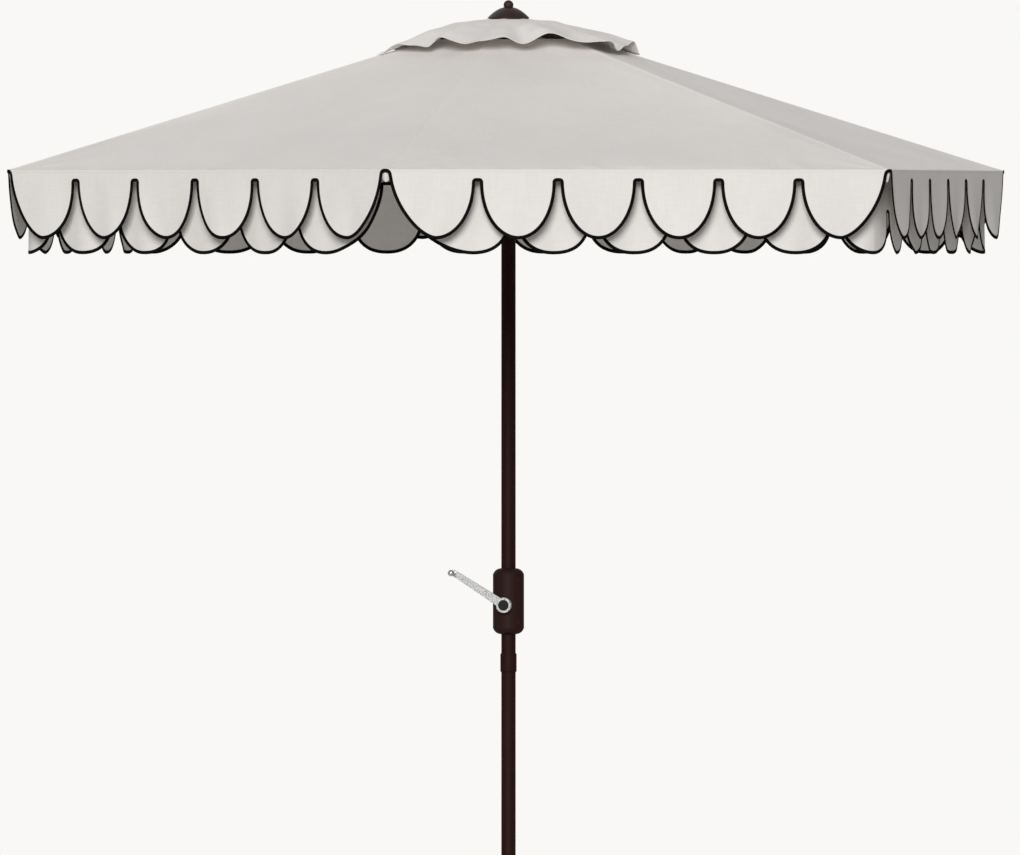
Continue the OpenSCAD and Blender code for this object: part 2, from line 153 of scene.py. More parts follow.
def shell(name, top, normal, thick, maps, material, body):
    """A closed sheet: a grid of top points, thickened against its normals, with smooth faces."""
    n, m = top.shape[:2]
    count = n * m
    at = np.arange(count).reshape(n, m)
    faces = np.stack([at[:-1, :-1], at[:-1, 1:], at[1:, 1:], at[1:, :-1]], -1).reshape(-1, 4)
    edge = np.concatenate([
        np.stack([at[0, :-1], at[0, 1:]], -1), np.stack([at[:-1, -1], at[1:, -1]], -1),
        np.stack([at[-1, 1:], at[-1, :-1]], -1), np.stack([at[1:, 0], at[:-1, 0]], -1)])
    rim = np.stack([edge[:, 1], edge[:, 0], edge[:, 0] + count, edge[:, 1] + count], -1)
    quads = np.concatenate([faces, faces[:, ::-1] + count, rim])
    i, j = n // 2, m // 2
    ahead, across = top[i, j] - top[i - 1, j], top[i, j] - top[i, j - 1]
    if np.cross(across, ahead) @ normal[i, j] < 0:
        quads = quads[:, ::-1]
    points = np.concatenate([top.reshape(-1, 3), (top - normal * thick).reshape(-1, 3)])
    mesh = bpy.data.meshes.new(name)
    mesh.from_pydata(points.tolist(), [], quads.tolist())
    set_maps(mesh, {k: np.concatenate([v.reshape(-1, 2)] * 2) for k, v in maps.items()})
    flags = np.ones(len(quads), bool)
    flags[2 * len(faces):] = False
    mesh.polygons.foreach_set("use_smooth", flags)
    flat = normal.reshape(-1, 3)
    wanted = np.zeros((len(quads) * 4, 3))
    corners = quads.reshape(-1)
    side = 4 * len(faces)
    wanted[:side] = flat[corners[:side]]
    wanted[side:2 * side] = -flat[corners[side:2 * side] - count]
    mesh.normals_split_custom_set(wanted.tolist())
    mesh.update()
    return new_object(name, mesh, material, body)


SECTION_POINTS = 12


def sweep(name, centre, across, normal, half_w, half_t, material, body, power):
    """A closed section swept along centre: squarish at power 0.5, and round at power 1."""
    turns = SECTION_POINTS
    angle = np.arange(turns) * 2 * math.pi / turns
    a = np.sign(np.cos(angle)) * np.abs(np.cos(angle)) ** power
    b = np.sign(np.sin(angle)) * np.abs(np.sin(angle)) ** power
    rows = (centre[:, None] + across[:, None] * (a * half_w)[None, :, None]
            + normal[:, None] * (b * half_t)[None, :, None])
    n = len(centre)
    length = np.concatenate([[0], np.cumsum(np.linalg.norm(np.diff(centre, axis=0), axis=1))])
    at = np.arange(n * turns).reshape(n, turns)
    nxt = np.roll(at, -1, axis=1)
    quads = np.stack([at[:-1], at[1:], nxt[1:], nxt[:-1]], -1).reshape(-1, 4).tolist()
    quads += [at[0].tolist(), at[-1][::-1].tolist()]
    i = n // 2
    p = rows[i, 0]
    if np.cross(rows[i + 1, 0] - p, rows[i, 1] - p) @ (p - centre[i]) < 0:
        quads = [q[::-1] for q in quads]
    mesh = bpy.data.meshes.new(name)
    mesh.from_pydata(rows.reshape(-1, 3).tolist(), [], quads)
    uv = np.stack(np.broadcast_arrays(length[:, None], (a * half_w)[None, :]), -1)
    set_maps(mesh, {"cloth": uv})
    mesh.polygons.foreach_set("use_smooth", [len(q) == 4 for q in quads])
    mesh.update()
    return new_object(name, mesh, material, body)


# ---- materials ----


class Nodes:
    """Short names for building a node tree."""

    def __init__(self, name):
        self.mat = bpy.data.materials.new(name)
        self.mat.use_nodes = True
        self.tree = self.mat.node_tree
        self.shader = self.tree.nodes["Principled BSDF"]

    def new(self, kind, **settings):
        node = self.tree.nodes.new("ShaderNode" + kind)
        for key, value in settings.items():
            setattr(node, key, value)
        return node

    def link(self, source, target):
        self.tree.links.new(source, target)

    def math(self, op, a, b=None, clamp=False):
        node = self.new("Math", operation=op, use_clamp=clamp)
        for socket, value in zip(node.inputs, (a, b)):
            if value is None:
                continue
            if isinstance(value, (int, float)):
                socket.default_value = value
            else:
                self.link(value, socket)
        return node.outputs[0]

    def uv(self, name):
        """A UV map, as a vector and as its separate X and Y."""
        vector = self.new("UVMap", uv_map=name).outputs["UV"]
        parts = self.new("SeparateXYZ")
        self.link(vector, parts.inputs[0])
        return vector, parts.outputs["X"], parts.outputs["Y"]

    def place(self):
        """Where a point lies on its object."""
        return self.new("TexCoord").outputs["Object"]

    def mapped(self, vector, scale):
        node = self.new("Mapping")
        self.link(vector, node.inputs["Vector"])
        node.inputs["Scale"].default_value = scale
        return node.outputs[0]

    def noise(self, vector, scale, detail, rough):
        node = self.new("TexNoise")
        self.link(vector, node.inputs["Vector"])
        node.inputs["Scale"].default_value = scale
        node.inputs["Detail"].default_value = detail
        node.inputs["Roughness"].default_value = rough
        return node.outputs["Fac"]

    def ramp(self, value, low_in, high_in, low_out=0.0, high_out=1.0):
        node = self.new("MapRange")
        self.link(value, node.inputs["Value"])
        limits = {"From Min": low_in, "From Max": high_in, "To Min": low_out, "To Max": high_out}
        for key, v in limits.items():
            node.inputs[key].default_value = v
        return node.outputs["Result"]

    def mix(self, fac, a, b):
        node = self.new("Mix", data_type="RGBA")
        self.link(fac, node.inputs["Factor"])
        for key, v in (("A", a), ("B", b)):
            socket = next(s for s in node.inputs if s.name == key and s.type == "RGBA")
            if isinstance(v, tuple):
                socket.default_value = (*v, 1)
            else:
                self.link(v, socket)
        return next(s for s in node.outputs if s.type == "RGBA")

    def bump(self, height, distance, strength):
        node = self.new("Bump")
        node.inputs["Distance"].default_value = distance
        node.inputs["Strength"].default_value = strength
        self.link(height, node.inputs["Height"])
        return node.outputs["Normal"]

    def put(self, **values):
        for key, v in values.items():
            socket = self.shader.inputs[key.replace("_", " ")]
            if isinstance(v, (int, float)):
                socket.default_value = v
            elif isinstance(v, tuple):
                socket.default_value = (*v, 1)
            else:
                self.link(v, socket)


def toned(colour, share):
    """The colour made lighter or darker."""
    return tuple(min(1.0, c * share) for c in colour)


THREAD = 0.0007              # width of a thread in the weave
STITCH = 0.0036              # from one stitch to the next
STITCH_HALF = 0.00055        # half a stitch's thickness
GROOVE = 0.0022              # how far the cloth dips on each side of a row of stitches


def woven(name, colour, stitched, slub=0.05, soil=0.04):
    """Plain-woven cloth. stitched lists (map, offset): a row of stitches that far from that map's V = 0."""
    k = Nodes(name)
    cloth, x, y = k.uv("cloth")
    warp = k.math("SINE", k.math("MULTIPLY", x, math.pi / THREAD))
    weft = k.math("SINE", k.math("MULTIPLY", y, math.pi / THREAD))
    weave = k.math("MULTIPLY", warp, weft)
    yarn_x = k.noise(k.mapped(cloth, (16, 420, 1)), 1, 3, 0.6)
    yarn_y = k.noise(k.mapped(cloth, (420, 16, 1)), 1, 3, 0.6)
    yarns = k.math("ADD", yarn_x, yarn_y)
    place = k.place()
    cloud = k.noise(place, 2.6, 4, 0.55)
    grain = k.noise(place, 55, 3, 0.6)
    tone = k.math("ADD", k.ramp(yarns, 0.6, 1.4, -slub, slub), k.ramp(cloud, 0.3, 0.7, -soil, soil))
    tone = k.math("ADD", tone, k.ramp(grain, 0.3, 0.7, -0.012, 0.012))
    tone = k.math("ADD", tone, k.ramp(weave, -1.0, 1.0, -0.02, 0.02))
    fac = k.math("ADD", k.math("MULTIPLY", tone, 4.0), 0.5, clamp=True)
    shade = k.mix(fac, toned(colour, 0.88), toned(colour, 1.12))
    height = k.math("ADD", k.math("MULTIPLY", weave, 0.35), k.math("MULTIPLY", yarns, 0.9))
    for map_name, offset in stitched:
        _, u, v = k.uv(map_name)
        away = k.math("ABSOLUTE", k.math("SUBTRACT", k.math("ABSOLUTE", v), offset))
        on_row = k.math("LESS_THAN", away, STITCH_HALF)
        cycle = k.math("FRACT", k.math("DIVIDE", u, STITCH))
        stitch = k.math("MULTIPLY", on_row, k.math("LESS_THAN", cycle, 0.74))
        groove = k.ramp(away, 0.0, GROOVE, -1.6, 0.0)
        height = k.math("ADD", height, k.math("ADD", groove, k.math("MULTIPLY", stitch, 3.2)))
        # each row of stitches is darkened with painted shade in its groove; the stitches over it are then
        # lightened back to about the cloth's own tone
        shade = k.mix(k.math("MULTIPLY", on_row, 0.35), shade, toned(colour, 0.62))
        shade = k.mix(k.math("MULTIPLY", stitch, 0.75), shade, toned(colour, 1.08))
    k.put(Base_Color=shade, Roughness=0.88, Normal=k.bump(height, 0.00022, 0.55),
          Sheen_Weight=0.12, Sheen_Roughness=0.5, Specular_IOR_Level=0.25)
    return k.mat


TAPE_RIB = 0.0011            # from one rib of the tape to the next
TAPE_ROW = 0.0009            # width of the groove at its row of stitches


def binding_tape():
    """Black grosgrain tape, with its ribs across it and a stitched row near each edge."""
    k = Nodes("black_binding_tape")
    cloth, x, y = k.uv("cloth")
    rib = k.math("SINE", k.math("MULTIPLY", x, 2 * math.pi / TAPE_RIB))
    fuzz = k.noise(k.mapped(cloth, (900, 260, 1)), 1, 3, 0.6)
    away = k.math("ABSOLUTE", k.math("SUBTRACT", k.math("ABSOLUTE", y), BIND_HALF * 0.62))
    row = k.ramp(away, 0.0, TAPE_ROW, -1.0, 0.0)
    height = k.math("ADD", k.math("MULTIPLY", rib, 0.5), k.math("ADD", fuzz, row))
    wear = k.noise(k.place(), 14, 4, 0.6)
    tone = k.ramp(k.math("ADD", wear, k.math("MULTIPLY", rib, 0.05)), 0.3, 0.75)
    shade = k.mix(tone, (0.0012, 0.0012, 0.0012), (0.006, 0.0057, 0.0055))
    k.put(Base_Color=shade, Roughness=0.85, Normal=k.bump(height, 0.0002, 0.6), Specular_IOR_Level=0.08)
    return k.mat


def coated(name, colour, rough, gloss=0.4, peel=0.00006, wear=0.3):
    """Powder coat or moulded plastic: fine orange peel, faint streaks, dust and small scuffs."""
    k = Nodes(name)
    place = k.place()
    skin = k.noise(place, 620, 2, 0.5)
    streak = k.noise(k.mapped(place, (1, 1, 0.06)), 130, 3, 0.6)
    cloud = k.noise(place, 7, 4, 0.6)
    scuff = k.ramp(k.noise(k.mapped(place, (1, 1, 0.35)), 85, 5, 0.7), 0.66, 0.74)
    tone = k.math("ADD", k.math("MULTIPLY", streak, 0.5), k.math("MULTIPLY", cloud, 0.5))
    shade = k.mix(k.ramp(tone, 0.3, 0.7), toned(colour, 0.78), toned(colour, 1.25))
    shade = k.mix(k.math("MULTIPLY", scuff, wear), shade, tuple(c * 1.7 + 0.004 for c in colour))
    dusty = k.ramp(cloud, 0.3, 0.7, rough - 0.06, rough + 0.07)
    roughness = k.math("ADD", dusty, k.math("MULTIPLY", scuff, 0.12))
    k.put(Base_Color=shade, Roughness=roughness, Specular_IOR_Level=gloss, Normal=k.bump(skin, peel, 0.6))
    return k.mat


def hammered():
    """Bright cast metal with hammered dimples and dark specks in them."""
    k = Nodes("hammered_silver")
    place = k.place()
    cell = k.new("TexVoronoi", feature="SMOOTH_F1")
    k.link(place, cell.inputs["Vector"])
    cell.inputs["Scale"].default_value = 210
    dimple = cell.outputs["Distance"]
    speck = k.noise(place, 330, 3, 0.65)
    cloud = k.noise(place, 60, 3, 0.6)
    shade = k.mix(k.ramp(speck, 0.36, 0.56), (0.20, 0.20, 0.205), (0.64, 0.64, 0.63))
    height = k.math("ADD", dimple, k.math("MULTIPLY", speck, 0.35))
    k.put(Base_Color=shade, Metallic=0.7, Roughness=k.ramp(cloud, 0.3, 0.7, 0.42, 0.60),
          Normal=k.bump(height, 0.0003, 0.6))
    return k.mat


def polished(name, colour, rough):
    """Plated or turned metal, with hairlines and a few fingerprints."""
    k = Nodes(name)
    place = k.place()
    hair = k.noise(k.mapped(place, (1, 1, 30)), 90, 2, 0.5)
    smear = k.noise(place, 45, 4, 0.6)
    shade = k.mix(k.ramp(smear, 0.35, 0.7), toned(colour, 0.9), colour)
    k.put(Base_Color=shade, Metallic=1.0, Roughness=k.ramp(smear, 0.3, 0.7, rough, rough + 0.16),
          Normal=k.bump(hair, 0.00002, 0.4))
    return k.mat


def twisted_rope():
    """Pale rope, with strands that run round it on a slant."""
    k = Nodes("braided_rope")
    cloth, x, y = k.uv("cloth")
    strand = k.math("SINE", k.math("ADD", k.math("MULTIPLY", x, 2200.0), k.math("MULTIPLY", y, 1400.0)))
    fibre = k.noise(k.mapped(cloth, (500, 3000, 1)), 1, 3, 0.6)
    # the rope is darker between its strands and lighter on their crests, painted shade following the strands'
    # bump; the fibre noise varies its tone at random
    tone = k.ramp(k.math("ADD", k.math("MULTIPLY", strand, 0.3), fibre), 0.2, 0.9)
    shade = k.mix(tone, (0.45, 0.43, 0.4), (0.82, 0.8, 0.76))
    k.put(Base_Color=shade, Roughness=0.85, Normal=k.bump(strand, 0.0004, 0.7), Sheen_Weight=0.1)
    return k.mat


CANOPY_COLOUR = (0.802, 0.770, 0.744)
VALANCE_COLOUR = (0.83, 0.80, 0.77)
canopy_cloth = woven("canopy_cloth", CANOPY_COLOUR, [("seam", 0.0045), ("hem", 0.007)])
vent_cloth = woven("vent_cloth", CANOPY_COLOUR, [("seam", 0.004), ("hem", 0.008)])
valance_cloth = woven("valance_cloth", VALANCE_COLOUR, [("hem", 0.006)], slub=0.06, soil=0.03)
tape = binding_tape()
CAD_LOOKS = {
    "pole_bronze": coated("pole_bronze", (0.0190, 0.0062, 0.0050), 0.55, gloss=0.09),
    "housing_bronze": coated("housing_bronze", (0.0235, 0.0098, 0.0082), 0.56, gloss=0.09),
    "frame_bronze": coated("frame_bronze", (0.034, 0.0175, 0.0150), 0.48, gloss=0.22),
    "black_plastic": coated("black_plastic", (0.012, 0.012, 0.0125), 0.5, gloss=0.15, peel=0.0001, wear=0.2),
    "nylon": coated("nylon", (0.05, 0.045, 0.042), 0.55, peel=0.0001, wear=0.15),
    "steel": polished("zinc_plated_steel", (0.62, 0.62, 0.63), 0.28),
    "crank_silver": hammered(),
    "chrome": polished("chrome", (0.86, 0.86, 0.87), 0.07),
    "rope": twisted_rope(),
}

# ---- the cloth's surfaces ----

SEAM_HALF = 0.007            # half the width of the felled seam along a rib
SEAM_UP = 0.0009             # how far it stands up
SEAM_EDGE = 0.0016           # its side slopes down over this width
HEM_W = 0.012
HEM_UP = 0.0007
HEM_EDGE = 0.0015


def gore_xy(g, w, c):
    """Plan position at a share w of the way from rib g to the next, on the hexagon of corner radius c."""
    a, b = azimuth(g), azimuth(g + 1)
    return (c * ((1 - w) * math.cos(a) + w * math.cos(b)),
            c * ((1 - w) * math.sin(a) + w * math.sin(b)))


def seam_height(d, crease):
    """Height of the seam's ridge at d from the rib's line, with the crease over the rib rounded off."""
    ridge = SEAM_UP * (1 - smooth((d - SEAM_HALF) / SEAM_EDGE))
    over = np.clip(SEAM_HALF - d, 0, None)
    return ridge - crease * over**2 / (2 * SEAM_HALF)


class Ripple:
    """A smooth wavy function of two variables, from a fixed seed."""

    def __init__(self, seed, waves, shortest, longest, slant):
        rng = np.random.default_rng(seed)
        angle = rng.uniform(-slant, slant, waves)
        k = 2 * math.pi / rng.uniform(shortest, longest, waves)
        self.kx, self.ky = k * np.cos(angle), k * np.sin(angle)
        self.phase = rng.uniform(0, 2 * math.pi, waves)
        self.size = rng.uniform(0.5, 1.0, waves)
        self.size /= np.sqrt((self.size**2).sum())

    def __call__(self, x, y):
        total = np.zeros(np.broadcast(x, y).shape)
        for kx, ky, p, s in zip(self.kx, self.ky, self.phase, self.size):
            total = total + s * np.sin(kx * x + ky * y + p)
        return total


# Heights of the canopy's waves: over the whole gore, along its hem, along the vent opening, and
# fanning out from each corner. The last three die away over the lengths below.
BROAD_UP, HEM_WAVE_UP, VENT_WAVE_UP, FAN_UP = 0.0020, 0.0014, 0.0012, 0.0010
HEM_WAVE_FADE, VENT_WAVE_FADE, FAN_FADE = 0.09, 0.16, 0.16


def canopy_surface(g):
    """The canopy's top face over gore g, as a function of w and the corner radius c."""
    broad = Ripple(100 + g, 6, 0.35, 0.8, 1.5)
    fine = Ripple(200 + g, 8, 0.07, 0.15, 0.35)
    pull = Ripple(300 + g, 5, 0.10, 0.22, 0.5)

    def at(w, c):
        x, y = gore_xy(g, w, c)
        u = 2 * w - 1
        v = (c - HOLE_R) / (CANOPY_R - HOLE_R)
        s = (w - 0.5) * c                       # along the side, from the gore's middle
        d = np.minimum(w, 1 - w) * c * COS30    # from the nearer rib's line
        taut = smooth(d / 0.05)
        dip = GORE_SAG * np.sin(math.pi * v) * (1 - u * u)
        z = PEAK_Z - FALL * c - dip
        out = CANOPY_R - c
        taut = taut * smooth(out / 0.022)       # the hem is held level by the valance's seam
        z = z + BROAD_UP * taut * broad(s, c)
        z = z + HEM_WAVE_UP * taut * np.exp(-out / HEM_WAVE_FADE) * fine(s, out)
        z = z + VENT_WAVE_UP * taut * np.exp(-(c - HOLE_R) / VENT_WAVE_FADE) * pull(s, c)
        to_corner = np.hypot(d, out)
        turn = np.arctan2(d, out + 1e-6)
        z = z + FAN_UP * taut * np.exp(-to_corner / FAN_FADE) * np.sin(turn * 9 + g)
        z = z + seam_height(d, FALL * 0.5 / COS30)
        z = z + HEM_UP * (1 - smooth((out * COS30 - HEM_W) / HEM_EDGE))
        return np.stack([x, y, z], -1)

    return at


VENT_TOP_R = VENT_IN_R - 0.003   # the cap's cloth starts here, under the crown patch
VENT_DOME = 0.008            # how far the whole cap swells, and how much more between its ribs
VENT_RISE = 0.010
VENT_WAVE_START = 0.25       # share of the way to the hem where the ruffle starts
CRUMPLE_UP = 0.0014
CORNER_REACH = 0.045         # how much further the cap's corners reach than its hexagon
CORNER_SPREAD = 0.075        # this reach fades over this distance from a rib's line
# The ruffled hem: azimuth in degrees, and millimetres above the cap's own line
RUFFLE = [
    (-150, -24), (-139, 5), (-131, 1), (-122, -2), (-113, 23), (-96, 5), (-79, 21), (-69, 4),
    (-56, 33), (-38, 8), (-28, 12), (-16, 5), (-4, -13), (13, 2), (22, 12), (30, -22),
    (44, -6), (58, -12), (71, 0), (85, -8), (98, 2), (110, -7), (124, -1), (137, -12),
    (150, -20), (163, -6), (176, -14), (190, -6), (201, -17), (210, -24),
]


def ruffle_height(around):
    """Height of the cap's hem above its own line, level at each crest and trough."""
    degrees = np.degrees(around)
    degrees = np.where(degrees < RUFFLE[0][0], degrees + 360, degrees)
    total = np.zeros_like(degrees)
    for (a0, h0), (a1, h1) in zip(RUFFLE[:-1], RUFFLE[1:]):
        inside = (degrees >= a0) & (degrees <= a1)
        total = np.where(inside, h0 + (h1 - h0) * smooth((degrees - a0) / (a1 - a0)), total)
    return total / 1000


def vent_surface(g):
    """The vent cap's top face over gore g. Its hem is cut loose, so it waves."""
    crumple = Ripple(500 + g, 7, 0.05, 0.12, 1.4)

    def at(w, c):
        x, y = gore_xy(g, w, c)
        u = 2 * w - 1
        v = (c - VENT_IN_R) / (VENT_R - VENT_IN_R)
        around = np.arctan2(y, x)
        loose = smooth((v - VENT_WAVE_START) / (1 - VENT_WAVE_START)) ** 1.25
        d = np.minimum(w, 1 - w) * c * COS30
        reach = 1 + CORNER_REACH * loose * np.exp(-(d / CORNER_SPREAD) ** 2)
        z = VENT_PEAK_Z - VENT_FALL * c + VENT_RISE * np.sin(math.pi * v) * (1 - u * u)
        z = z + VENT_DOME * np.sin(math.pi * np.clip(v, 0, 1)) + loose * ruffle_height(around)
        z = z + CRUMPLE_UP * smooth(v * 3) * smooth(d / 0.02) * crumple((w - 0.5) * c, c)
        out = (VENT_R - c) * COS30
        z = z + seam_height(d, VENT_FALL * 0.5 / COS30 * smooth(v * 4))
        z = z + HEM_UP * (1 - smooth((out - HEM_W) / HEM_EDGE))
        return np.stack([x * reach, y * reach, z], -1)

    return at


def surface_normals(at, w, c):
    """Upward normals of a surface, from its slope along w and c."""
    e = 1e-4
    across = at(w + e, c) - at(w - e, c)
    down = at(w, c + e) - at(w, c - e)
    n = np.cross(down, across)
    n /= np.linalg.norm(n, axis=-1, keepdims=True)
    return np.where(n[..., 2:] < 0, -n, n)


def sides(g):
    """The two halves of gore g: (side, rib it rides on, share of the gore at the rib)."""
    return (("right", g, 0.0), ("left", g % RIBS + 1, 1.0))


# Distances from a rib's line of the columns of points over its seam
SEAM_COLUMNS = np.array([0, 0.0018, 0.0036, 0.0054, 0.0070, 0.0078, 0.0086, 0.0105, 0.014, 0.020])


def sector_grid(c_rows, columns, at_rib):
    """Grid of w and c over half a gore: columns crowd at the rib's seam, and reach the middle."""
    c = c_rows[:, None] * np.ones(len(SEAM_COLUMNS) + columns)
    near = SEAM_COLUMNS[None] / (c_rows[:, None] * COS30)
    share = np.linspace(0, 1, columns + 1)[1:]
    far = near[:, -1:] + (0.5 - near[:, -1:]) * share[None]
    w = np.concatenate([near, far], 1)
    return (w if at_rib == 0 else 1 - w), c


def closed_fold():
    """How half a gore's cloth and its valance flatten as the ribs fold, in a rib's own frame."""
    along = np.array([-0.5, COS30, 0])
    out = np.array([math.sin(SLOPE), 0, math.cos(SLOPE)])
    tuck, dip = 0.14, math.radians(40)      # what the pleat keeps of the gore's width, and its droop
    a = np.array([along[1], along @ out])
    b = along[1] * tuck * np.array([math.cos(dip), -math.sin(dip)])
    gap = a - b
    keep = 1 - gap @ gap / (a @ gap)
    gap = gap / np.linalg.norm(gap)
    axis = gap[0] * np.array([0, 1, 0]) + gap[1] * out
    flat = along - (1 - keep) * (along @ axis) * axis
    turned = np.array([flat[0] * math.cos(FOLD) + flat[2] * math.sin(FOLD), flat[1],
                       -flat[0] * math.sin(FOLD) + flat[2] * math.cos(FOLD)])
    lift = math.asin(turned[2])
    hang_keep = math.hypot(turned[0], turned[1]) / math.cos(lift)
    hang_axis = math.cos(lift) * along + math.sin(lift) * np.array([0, 0, -1])
    return axis, keep, hang_axis, hang_keep


CANOPY_AXIS, CANOPY_KEEP, HANG_AXIS, HANG_KEEP = closed_fold()


def to_row(local, i, side):
    """A direction in rib i's own frame, mirrored for a left half, turned into the row's frame."""
    x, y, z = local
    y = y if side == "right" else -y
    a = azimuth(i)
    return (x * math.cos(a) - y * math.sin(a), x * math.sin(a) + y * math.cos(a), z)


def corner(i):
    """Where rib i's corner of the hem lies."""
    a = azimuth(i)
    return (CANOPY_R * math.cos(a), CANOPY_R * math.sin(a), HEM_Z)


def half_gores(kind, stands_for, at, g, c_rows, columns, material):
    """The two halves of gore g, each on its own rib, from corner radius r_in to r_out."""
    for side, rib, at_rib in sides(g):
        w, c = sector_grid(c_rows, columns, at_rib)
        top = at(w, c)
        normal = surface_normals(at, w, c)
        along = (w - 0.5) * c
        d = np.minimum(w, 1 - w) * c * COS30
        run = (c[-1:] - c) * COS30 / math.cos(SLOPE)
        maps = {
            "cloth": np.stack([along, run], -1),
            "seam": np.stack([run, d], -1),
            "hem": np.stack([along, run], -1),
        }
        name, body = f"{kind}_{side}_{rib}", f"rib_{rib}"
        obj = shell(name, top, normal, CLOTH_T, maps, material, body)
        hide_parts(f"{stands_for}_{rib}")
        to_row(CANOPY_AXIS, rib, side)
        corner(rib)
        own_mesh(obj)


def make_canopy():
    """The canopy's half gores. Their rows of points crowd at the opening's hem and at the outer hem."""
    inner = HOLE_R + np.array([0, 0.004, 0.010, 0.0135, 0.016, 0.022])
    middle = np.linspace(HOLE_R + 0.035, CANOPY_R - 0.16, 44)
    outer = CANOPY_R - np.array([0.14, 0.12, 0.10, 0.08, 0.062, 0.046, 0.033, 0.024, 0.0185, 0.0160,
                                 0.0148, 0.0139, 0.012, 0.008, 0.004, 0.0012, 0.0])
    rows = np.concatenate([inner, middle, outer])
    for g in range(1, RIBS + 1):
        half_gores("canopy_cloth", "canopy", canopy_surface(g), g, rows, 40, canopy_cloth)


def make_vent():
    rows = np.concatenate([np.linspace(VENT_TOP_R, VENT_R - 0.020, 34),
                           VENT_R - np.array([0.0160, 0.0150, 0.0138, 0.011, 0.007, 0.003, 0.0])])
    for g in range(1, RIBS + 1):
        half_gores("vent_cloth", "vent", vent_surface(g), g, rows, 30, vent_cloth)


# ---- valance ----

PITCH_W = SIDE_HALF * 0.3175         # width of a plain scallop
CORNER_W = SIDE_HALF - 2 * PITCH_W   # width of the scallop beside a corner
SLOT_HALF = 0.011                    # half the width of a slot's top
CORNER_SLOT = 0.015
CORNER_TOP = 0.0045                  # depth of the corner slot's top
OUTER_BAND = 0.026                   # depth of the other slots' tops
INNER_BAND = 0.108
C1 = CORNER_W * 0.54                 # the scallops' lowest points, from the corner
C2 = CORNER_W + PITCH_W / 2
C3 = CORNER_W + PITCH_W * 1.5
TURN_R = 0.0054                      # radius of the corners at a slot's top


def arc(centre, reach, start, drop, left, power, steps=18):
    """Half of a scallop, going right: from its slot down to its lowest point, or back up if not left."""
    a = np.linspace(0, math.pi / 2, steps + 1)
    x = reach * np.cos(a) ** (2 / power)
    y = start + (drop - start) * np.sin(a) ** (2 / power)
    if left:
        return list(zip(centre - x, y))
    return list(zip(centre + x, y))[::-1]


def slot_turn(x, top, into):
    """The rounded corner of a slot's top, whose side is at x and which opens towards into."""
    a = np.linspace(0, math.pi / 2, 5)
    return [(x + into * TURN_R * (1 - math.cos(t)), top + TURN_R * (1 - math.sin(t))) for t in a]


def scallop_line(scallops, drop, power, corner_power):
    """The lower edge from the rib to the gore's middle: (centre, left reach, left top, right reach,
    right top). A reach of 0 leaves that half out. A half that starts the line has its own power."""
    line = []
    for centre, left, left_top, right, right_top in scallops:
        if left:
            left_power = power if line else corner_power
            line += slot_turn(centre - left, left_top, -1)[::-1]
            line += arc(centre, left, left_top + TURN_R, drop, True, left_power)[1:]
        if right:
            start = arc(centre, right, right_top + TURN_R, drop, False, power)
            line += start[1:] if left else start
            line += slot_turn(centre + right, right_top, 1)[1:]
    return np.array(line)


def outer_line():
    return scallop_line([
        (C1, C1 - CORNER_SLOT, CORNER_TOP, CORNER_W - SLOT_HALF - C1, OUTER_BAND),
        (C2, PITCH_W / 2 - SLOT_HALF, OUTER_BAND, PITCH_W / 2 - SLOT_HALF, OUTER_BAND),
        (C3, PITCH_W / 2 - SLOT_HALF, OUTER_BAND, PITCH_W / 2 - SLOT_HALF, OUTER_BAND),
        (SIDE_HALF + 0.001, 0, 0, 0, 0),
    ], OUTER_DROP, 2.0, 1.6)


INNER_CORNER = LAYER_GAP * math.tan(math.pi / 6)   # the inner layer's planes meet this far along
INNER_C1 = (C1 + C2) / 2
INNER_HW1 = (C2 - C1) / 2 - SLOT_HALF
INNER_C2 = (C2 + C3) / 2
OPEN_START = 0.050           # under rib 1 the inner layer is cut back to here
OPEN_TOP = 0.036             # where only a level band of this depth joins its two ends
LEVEL_END = 0.030            # that band is level at least this far
POCKET_SIDE = 0.0315         # nearer the corner than this, the inner layer starts lower
UNDER_POCKET = 0.0135
ABOVE_HEM = -0.006           # elsewhere it starts above the hem, at the canopy


def inner_line(open_end):
    """The inner layer's lower edge. Its scallops hang behind the outer layer's slots."""
    common = [
        (INNER_C2, PITCH_W / 2 - SLOT_HALF, INNER_BAND, PITCH_W / 2 - SLOT_HALF, INNER_BAND),
        (SIDE_HALF, SIDE_HALF - C3 - SLOT_HALF, INNER_BAND, 0, 0),
    ]
    if open_end:
        first = [(INNER_C1, INNER_C1 - OPEN_START, OPEN_TOP, INNER_HW1, INNER_BAND)]
    else:
        first = [(INNER_CORNER, 0, 0, C1 - SLOT_HALF - INNER_CORNER, INNER_BAND),
                 (INNER_C1, INNER_HW1, INNER_BAND, INNER_HW1, INNER_BAND)]
    return scallop_line(first + common, INNER_DROP, 2.3, 1.8)


def dense(line, step=0.006):
    """The line with long level stretches divided."""
    points = [line[0]]
    for a, b in zip(line[:-1], line[1:]):
        n = max(1, int(math.ceil((b[0] - a[0]) / step)))
        points += [a + (b - a) * k / n for k in range(1, n + 1)]
    return np.array(points)


def hang(g, layer):
    """How far the cloth of a layer stands out of its plane, outwards, at s along the side and depth d."""
    long_wave = Ripple(600 + 10 * g + layer, 4, 0.22, 0.42, 0.25)
    short_wave = Ripple(700 + 10 * g + layer, 5, 0.09, 0.16, 0.35)

    def at(s, d):
        free = np.clip(d / INNER_DROP, 0, 1.1)
        ends = smooth(np.minimum(s, CANOPY_R - s) / 0.09)
        swell = 0.0050 * free**1.3 * long_wave(s, d) + 0.0020 * free**1.1 * short_wave(s, d)
        kick = 0.004 * free**2.5 * (1 if layer == 0 else 0.6)
        return ends * (swell + kick)

    return at


ROUND_R = 0.055              # the inner layer's corners are rounded over this length


